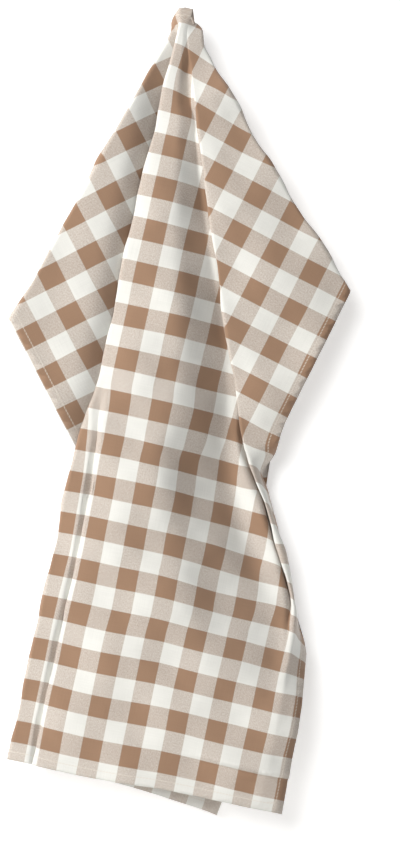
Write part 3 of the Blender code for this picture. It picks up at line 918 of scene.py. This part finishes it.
@dataclass(frozen=True)
class CheckedCotton:
    """Yarn-dyed cotton in checks, woven, washed and pressed.

    The yarn is matt, with a faint bloom of loose fibres.
    """

    name: str = "yarn_dyed_cotton"
    brown: str = "#997a62"
    white: str = "#e3e3de"
    stitch: str = "#dcd5ca"
    roughness: float = 0.92
    sheen: float = 0.25
    sheen_roughness: float = 0.6
    specular: float = 0.25
    yarn_pitch: float = 1.5       # mm; real yarns lie 0.5 mm apart, too fine to show from here
    edge_soft: float = 0.35       # mm over which one check gives way to the next
    wander: float = 1.2           # mm that the grain strays either way
    wander_long: float = 0.012    # waves a millimetre along the yarn, one in 83 mm
    wander_short: float = 0.02    # and across it, one in 50 mm
    warp_share: float = 0.46      # how much of the warp shows, where the weft takes the rest
    twill: float = 0.12           # how much that changes along the diagonal
    slub_long: float = 0.03       # a thick place in a yarn is some 33 mm long
    slub_short: float = 1.3       # and 0.8 mm wide
    slub_tone: float = 0.10
    speck_pitch: float = 0.8      # specks a millimetre, coarse enough to show
    speck: float = 0.8
    noise_roughness: float = 0.55
    cloud_pitch: float = 0.035    # a washed cloud is some 30 mm across
    cloud_tone: float = 0.10
    tone: float = 0.85
    yarn_relief: float = 0.12     # mm
    relief_strength: float = 0.6
    hem_soft: float = 0.4         # mm either side of the hem's step
    hem_step: float = 0.9         # in units of the yarn's relief, as the next ones
    stitch_dip: float = 0.9
    yarn_height: float = 0.25
    twill_height: float = 0.3
    stitch_inset: float = 7.5     # mm in from the edge of the hem
    stitch_length: float = 3.0    # mm
    stitch_half: Span = (0.35, 0.7)   # mm off the line of stitches over which a stitch ends
    stitch_gap: Span = (0.2, 0.45)    # mm from the middle of a gap over which a stitch starts
    stitch_dip_half: Span = (0.3, 1.2)
    stitch_share: float = 0.5

    def make(self, cloth: FlatCloth) -> bpy.types.Material:
        """Build the material from the places stored on the cloth.

        Args:
            cloth: Sizes of the checks.

        Returns:
            The finished material.
        """
        material = bpy.data.materials.new(self.name)
        material.use_nodes = True
        tree = material.node_tree
        tree.nodes.clear()
        place = add_node(tree, "ShaderNodeAttribute", {"attribute_name": "cloth_place"})
        parts = add_node(tree, "ShaderNodeSeparateXYZ", {}, {0: place.outputs["Vector"]})
        made = dict(zip(("across", "down", "edge"), parts.outputs))
        rows = self.grain_rows() + self.check_rows(cloth) + self.stitch_rows()
        for name, step, *feeds in rows + self.relief_rows(cloth):
            kind, settings, inputs, output = step.value
            fed = [made[feed] if isinstance(feed, str) else feed for feed in feeds]
            made[name] = add_node(tree, kind, settings, dict(zip(inputs, fed))).outputs[output]
        bump = add_node(tree, "ShaderNodeBump", {},
                        {"Strength": self.relief_strength, "Distance": self.yarn_relief * MM,
                         "Height": made["relief"]})
        shader = add_node(tree, "ShaderNodeBsdfPrincipled", {},
                          {"Base Color": made["cloth"], "Roughness": self.roughness,
                           "Specular IOR Level": self.specular, "Sheen Weight": self.sheen,
                           "Sheen Roughness": self.sheen_roughness, "Normal": bump.outputs[0]})
        add_node(tree, "ShaderNodeOutputMaterial", {}, {"Surface": shader.outputs[0]})
        return material

    def grain_rows(self) -> list[Row]:
        """List the uneven fields of the yarns: the grain's stray, slubs, specks and clouds.

        Returns:
            Rows: name, step, and what feeds each input.
        """
        rows: list[Row] = [("flat", Step.JOIN, "across", "down", 0.0)]
        # name, marks a millimetre across, down and a place of its own, detail
        fields = (
            ("stray_u", (self.wander_short, self.wander_long, 1.0), 1.0),
            ("stray_v", (self.wander_long, self.wander_short, 3.0), 1.0),
            ("slub_u", (self.slub_short, self.slub_long, 1.0), 2.0),
            ("slub_v", (self.slub_long, self.slub_short, 5.0), 2.0),
            ("specks", (self.speck_pitch, self.speck_pitch, 9.0), 3.0),
            ("clouds", (self.cloud_pitch, self.cloud_pitch, 7.0), 3.0),
        )
        for name, scale, detail in fields:
            rows.append((f"{name}_laid", Step.STRETCH, "flat", scale))
            rows.append((name, Step.NOISE, f"{name}_laid", 1.0, detail, self.noise_roughness))
        return rows

    def check_rows(self, cloth: FlatCloth) -> list[Row]:
        """Args:
            cloth: Sizes of the checks.

        Returns:
            Rows: name, step, and what feeds each input.
        """
        half, soft = cloth.check / 2.0, self.edge_soft
        rows: list[Row] = []
        for way, place, middle in (("u", "across", cloth.brown_column),
                                   ("v", "down", cloth.brown_row)):
            rows += [
                # the grain wanders by a yarn or so
                (f"wander_{way}", Step.MULTIPLY_ADD, f"stray_{way}", 2.0 * self.wander,
                 -self.wander),
                (way, Step.ADD, place, f"wander_{way}"),
                (f"from_{way}", Step.SUBTRACT, way, middle),
                (f"off_{way}", Step.FOLD, f"from_{way}", cloth.check),
                (f"dyed_{way}", Step.EASE, f"off_{way}", half - soft, half + soft, 1.0, 0.0),
                (f"yarn_{way}", Step.BLEND, f"dyed_{way}", linear(self.white),
                 linear(self.brown)),
                (f"tone_{way}", Step.MULTIPLY, f"slub_{way}", self.slub_tone),
            ]
        return rows + [
            # twill: the yarn that lies on top changes along the diagonal
            ("both", Step.ADD, "u", "v"),
            ("turning", Step.MULTIPLY, "both", 2.0 * math.pi / self.yarn_pitch),
            ("diagonal", Step.SINE, "turning"),
            ("twill", Step.MULTIPLY_ADD, "diagonal", self.twill, self.warp_share),
            ("speck", Step.MULTIPLY_ADD, "specks", self.speck, -self.speck / 2.0),
            ("on_top", Step.ADD, "twill", "speck"),
            ("woven", Step.BLEND, "on_top", "yarn_v", "yarn_u"),
            # yarns differ a little in dye and thickness, and washing leaves soft clouds
            ("uneven", Step.ADD, "tone_u", "tone_v"),
            ("cloud", Step.MULTIPLY, "clouds", self.cloud_tone),
            ("clouded", Step.ADD, "uneven", "cloud"),
            ("tone", Step.ADD, "clouded", self.tone),
            ("grey", Step.JOIN, "tone", "tone", "tone"),
            ("toned", Step.TINT, 1.0, "woven", "grey"),
        ]

    def stitch_rows(self) -> list[Row]:
        """List how one row of light stitches holds the hem.

        Returns:
            Rows: name, step, and what feeds each input.
        """
        return [
            ("inset", Step.SUBTRACT, "edge", self.stitch_inset),
            ("line", Step.ABSOLUTE, "inset"),
            ("run", Step.ADD, "across", "down"),
            ("dash", Step.FOLD, "run", self.stitch_length / 2.0),
            ("on_line", Step.EASE, "line", *self.stitch_half, 1.0, 0.0),
            ("on_dash", Step.EASE, "dash", *self.stitch_gap, 0.0, 1.0),
            ("stitched", Step.MULTIPLY, "on_line", "on_dash"),
            ("faint", Step.MULTIPLY, "stitched", self.stitch_share),
            ("cloth", Step.BLEND, "faint", "toned", linear(self.stitch)),
        ]

    def relief_rows(self, cloth: FlatCloth) -> list[Row]:
        """List how yarns, slubs, the hem's step and the line of stitches stand off the cloth.

        Args:
            cloth: Sizes of the hem.

        Returns:
            Rows: name, step, and what feeds each input.
        """
        turn = 4.0 * math.pi / self.yarn_pitch
        low, high = cloth.hem - self.hem_soft, cloth.hem + self.hem_soft
        rows: list[Row] = []
        for way in ("u", "v"):
            rows += [(f"turning_{way}", Step.MULTIPLY, way, turn),
                     (f"wave_{way}", Step.SINE, f"turning_{way}")]
        return rows + [
            ("yarns", Step.MULTIPLY, "wave_u", "wave_v"),
            ("yarns_up", Step.MULTIPLY, "yarns", self.yarn_height),
            ("twill_up", Step.MULTIPLY, "diagonal", self.twill_height),
            ("weave_up", Step.ADD, "yarns_up", "twill_up"),
            ("slubs_up", Step.ADD, "slub_u", "slub_v"),
            ("surface", Step.ADD, "weave_up", "slubs_up"),
            ("step", Step.EASE, "edge", low, high, self.hem_step, 0.0),
            ("stepped", Step.ADD, "surface", "step"),
            ("dip", Step.EASE, "line", *self.stitch_dip_half, self.stitch_dip, 0.0),
            ("relief", Step.SUBTRACT, "stepped", "dip"),
        ]


@dataclass
class TeaTowel:
    """The whole towel: one woven cloth with its four turned hems."""

    cloth: FlatCloth = field(default_factory=FlatCloth)
    drape: Drape = field(default_factory=Drape)
    creases: Creases = field(default_factory=Creases)
    finish: CheckedCotton = field(default_factory=CheckedCotton)
    thickness: float = 0.8
    hem_thickness: float = 1.4
    hem_slope: float = 2.0        # mm over which the hem's step rises
    calm: Span = (20.0, 60.0)     # radii, mm, over which the creases set in
    # the last point of the tuft on the front and on the back of the cloth, mm
    tip: Table = ((0.5, -0.4, -0.6), (0.5, 0.8, -2.6))
    map_side: float = 1040.0      # mm that the whole UV map is wide
    map_margin: float = 4.0

    def build(self) -> bpy.types.Object:
        """Make the cloth's mesh, its stored places and its finish.

        Returns:
            The finished cloth.
        """
        hung = HungCloth(self.cloth, self.drape)
        mesher = RayMesh(hung)
        rays = mesher.rays()
        u = np.concatenate([ray[0] for ray in rays])
        v = np.concatenate([ray[1] for ray in rays])
        edge = self.cloth.from_edge(u, v)
        normal = hung.normals(u, v)
        radius = np.hypot(u, v)
        calm = rise(radius, self.calm)
        middle = hung.place(u, v)
        middle = middle + normal * (self.creases.height(u, v, edge) * calm)[:, None]
        turned = fall(edge, (self.cloth.hem + self.hem_slope / 2.0, self.hem_slope))
        thick = (self.thickness + (self.hem_thickness - self.thickness) * turned)[:, None]
        count = len(u)
        points = np.concatenate([self.tip, middle + normal * thick / 2.0,
                                 middle - normal * thick / 2.0])
        faces = self.faces(rays, radius, count)
        mesh = bpy.data.meshes.new("towel_cloth_woven")
        mesh.from_pydata((points * MM).tolist(), [], faces)
        mesh.validate()
        mesh.polygons.foreach_set("use_smooth", [True] * len(mesh.polygons))
        stored = mesh.attributes.new("cloth_place", "FLOAT_VECTOR", "POINT")
        one = np.stack([u, v, edge], axis=-1)
        flat = np.concatenate([[(0.0, 0.0, 0.0), (0.0, 4.0, 4.0)], one, one])
        stored.data.foreach_set("vector", flat.astype(np.float32).ravel())
        self.unwrap(mesh, flat, count)
        mesh.update()
        towel = bpy.data.objects.new("towel_cloth_woven", mesh)
        bpy.context.scene.collection.objects.link(towel)
        mesh.materials.append(self.finish.make(self.cloth))
        LOG.info("cloth: %d faces", len(mesh.polygons))
        return towel

    @staticmethod
    def faces(rays: list[tuple[np.ndarray, np.ndarray]], radius: np.ndarray,
              count: int) -> list[tuple[int, ...]]:
        """List the faces of both sides and of the edge all round.

        Args:
            rays: Places along each ray.
            radius: Distance of every place from the hanging point, mm.
            count: How many places one side has.

        Returns:
            The faces of the closed sheet.
        """
        starts = np.concatenate([[0], np.cumsum([len(ray[0]) for ray in rays])])
        lists = [[(2 + k, float(radius[k])) for k in range(starts[i], starts[i + 1])]
                 for i in range(len(rays))]
        faces: list[tuple[int, ...]] = []
        for one, two in zip(lists[:-1], lists[1:]):
            side = RayMesh.join(one, two) + [(0, one[0][0], two[0][0])]
            faces += side
            faces += [tuple(1 if k == 0 else k + count for k in face[::-1]) for face in side]
        rim = [0] + [k for k, _ in lists[0]] + [ray[-1][0] for ray in lists[1:-1]]
        rim += [k for k, _ in lists[-1][::-1]]
        under = [1 if k == 0 else k + count for k in rim]
        for k in range(len(rim)):
            n = (k + 1) % len(rim)
            faces.append((rim[n], rim[k], under[k], under[n]))
        return faces

    def unwrap(self, mesh: bpy.types.Mesh, flat: np.ndarray, count: int) -> None:
        """Lay both sides of the cloth out flat, side by side, in a UV map.

        Args:
            mesh: The cloth's mesh.
            flat: Place on the cloth of every vertex, mm.
            count: How many places one side has.
        """
        layer = mesh.uv_layers.new(name="cloth")
        index = np.zeros(len(mesh.loops), dtype=np.int32)
        mesh.loops.foreach_get("vertex_index", index)
        back = (index >= count + 2) | (index == 1)
        u = (flat[index, 0] + self.cloth.half_left + self.map_margin) / self.map_side + 0.5 * back
        v = 1.0 - (flat[index, 1] + self.map_margin) / self.map_side
        layer.data.foreach_set("uv", np.stack([u, v], axis=-1).astype(np.float32).ravel())


@dataclass(frozen=True)
class Studio:
    """Pale wall and floor, soft light from the upper left, and the camera."""

    # Lengths here are metres. What the picture takes in at the towel, and its middle in X and Z:
    tall: float = 0.7653
    centre: tuple[float, float] = (0.0133, -0.3773)
    distance: float = 2.8
    stand_off: float = 0.005      # how much further back than that the camera stands
    wall_behind: float = 0.062
    floor_below: float = 0.86
    half_wide: float = 3.0
    wall_top: float = 2.2
    wall_paint: str = "#f4f4f4"
    floor_paint: str = "#efeeec"
    wall_glow: float = 0.36       # the wall gives off a little light, so that it stays white
    paint_roughness: float = 0.9
    paint_specular: float = 0.1
    air: str = "#fdfdff"
    air_strength: float = 0.12
    aim: tuple[float, float, float] = (0.0, 0.0, -0.35)
    sensor: float = 36.0          # mm, as the camera's film is measured
    sees_to: float = 50.0

    def pale(self, name: str, colour: str, glow: float, one_sided: bool) -> bpy.types.Material:
        """Make a matt painted finish, which looks even and has no gloss.

        Args:
            name: Name of the finish.
            colour: sRGB hex colour.
            glow: Light that it gives off itself.
            one_sided: Whether the back of the surface is left open to view.

        Returns:
            The finished material.
        """
        material = bpy.data.materials.new(name)
        material.use_nodes = True
        tree = material.node_tree
        tree.nodes.clear()
        paint = add_node(tree, "ShaderNodeBsdfPrincipled", {},
                         {"Base Color": linear(colour), "Roughness": self.paint_roughness,
                          "Specular IOR Level": self.paint_specular,
                          "Emission Color": (1.0, 1.0, 1.0, 1.0),
                          "Emission Strength": glow}).outputs[0]
        if one_sided:
            facing = add_node(tree, "ShaderNodeNewGeometry")
            clear = add_node(tree, "ShaderNodeBsdfTransparent")
            paint = add_node(tree, "ShaderNodeMixShader", {},
                             {0: facing.outputs["Backfacing"], 1: paint,
                              2: clear.outputs[0]}).outputs[0]
        add_node(tree, "ShaderNodeOutputMaterial", {}, {"Surface": paint})
        return material

    def plane(self, name: str, corners: list[tuple[float, float, float]],
              material: bpy.types.Material) -> bpy.types.Object:
        """Make one flat surface of the set.

        Args:
            name: Its name.
            corners: Its corners in metres, anticlockwise as seen from its front.
            material: Its finish.

        Returns:
            The surface.
        """
        mesh = bpy.data.meshes.new(name)
        mesh.from_pydata(corners, [], [tuple(range(len(corners)))])
        mesh.materials.append(material)
        made = bpy.data.objects.new(name, mesh)
        bpy.context.scene.collection.objects.link(made)
        return made

    def light(self, name: str, place: tuple[float, float, float], size: float, power: float,
              colour: str = "#ffffff", kept_to: tuple[bpy.types.Object, ...] = ()) -> None:
        """Hang one soft light that points at the towel.

        Args:
            name: Its name.
            place: Where it hangs, metres.
            size: Side of its square face, metres.
            power: Watts.
            colour: sRGB hex colour.
            kept_to: The only objects that it lights, or none to light them all.
        """
        data = bpy.data.lights.new(name, "AREA")
        data.shape, data.size, data.energy = "SQUARE", size, power
        data.color = linear(colour)[:3]
        made = bpy.data.objects.new(name, data)
        made.location = place
        made.rotation_euler = self.track(np.array(self.aim) - np.array(place))
        bpy.context.scene.collection.objects.link(made)
        if kept_to:
            lit = bpy.data.collections.new(f"{name}_reach")
            for item in kept_to:
                lit.objects.link(item)
            made.light_linking.receiver_collection = lit

    @staticmethod
    def track(way: np.ndarray) -> tuple[float, float, float]:
        """Turn a light so that it shines along a direction.

        Args:
            way: The direction.

        Returns:
            Its rotation, as XYZ angles.
        """
        flat = math.hypot(way[0], way[1])
        return math.atan2(flat, -way[2]), 0.0, math.atan2(-way[0], way[1])

    def build(self, towel: bpy.types.Object) -> None:
        """Set up wall, floor, lights, world and camera.

        Args:
            towel: The towel, which the side light is kept to with the floor.
        """
        y, low, top, half = self.wall_behind, -self.floor_below, self.wall_top, self.half_wide
        wall = self.plane(
            "backdrop", [(-half, y, low), (half, y, low), (half, y, top), (-half, y, top)],
            self.pale("painted_wall", self.wall_paint, self.wall_glow, True))
        floor = self.plane(
            "floor",
            [(-half, -half, low), (half, -half, low), (half, half, low), (-half, half, low)],
            self.pale("painted_floor", self.floor_paint, 0.0, False))
        # the side light models the folds, and would throw a long shadow on the wall
        self.light("side_light", place=(-2.1, -1.5, 1.0), size=0.8, power=84.0,
                   colour="#fffdfa", kept_to=(towel, floor))
        self.light("front_light", place=(-0.5, -2.6, 0.15), size=0.8, power=13.0)
        # the wall's own light throws the towel's soft, narrow shadow
        self.light("wall_light", place=(-0.72, -2.6, 0.45), size=1.1, power=42.0,
                   kept_to=(wall,))
        world = bpy.data.worlds.new("studio_air")
        world.use_nodes = True
        air = world.node_tree.nodes["Background"].inputs
        air["Color"].default_value = linear(self.air)
        air["Strength"].default_value = self.air_strength
        bpy.context.scene.world = world
        bpy.context.scene.view_settings.view_transform = "Standard"
        self.camera()
        LOG.info("studio: wall, floor, three lights and camera")

    def camera(self) -> None:
        """Set up the camera, square on to the towel."""
        data = bpy.data.cameras.new("view")
        data.sensor_fit = "VERTICAL"
        data.sensor_height = data.sensor_width = self.sensor
        data.lens = self.sensor * self.distance / self.tall
        data.clip_end = self.sees_to
        camera = bpy.data.objects.new("view", data)
        camera.location = (self.centre[0], -self.distance - self.stand_off, self.centre[1])
        camera.rotation_euler = (math.pi / 2.0, 0.0, 0.0)
        bpy.context.scene.collection.objects.link(camera)
        bpy.context.scene.camera = camera


def main() -> None:
    """Build the towel and its studio."""
    logging.basicConfig(level=logging.INFO, format="%(name)s: %(message)s")
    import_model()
    towel = TeaTowel()
    piece = towel.build()
    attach(piece, "root")
    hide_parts("towel_cloth")
    Studio().build(piece)


if __name__ == "__main__":
    main()
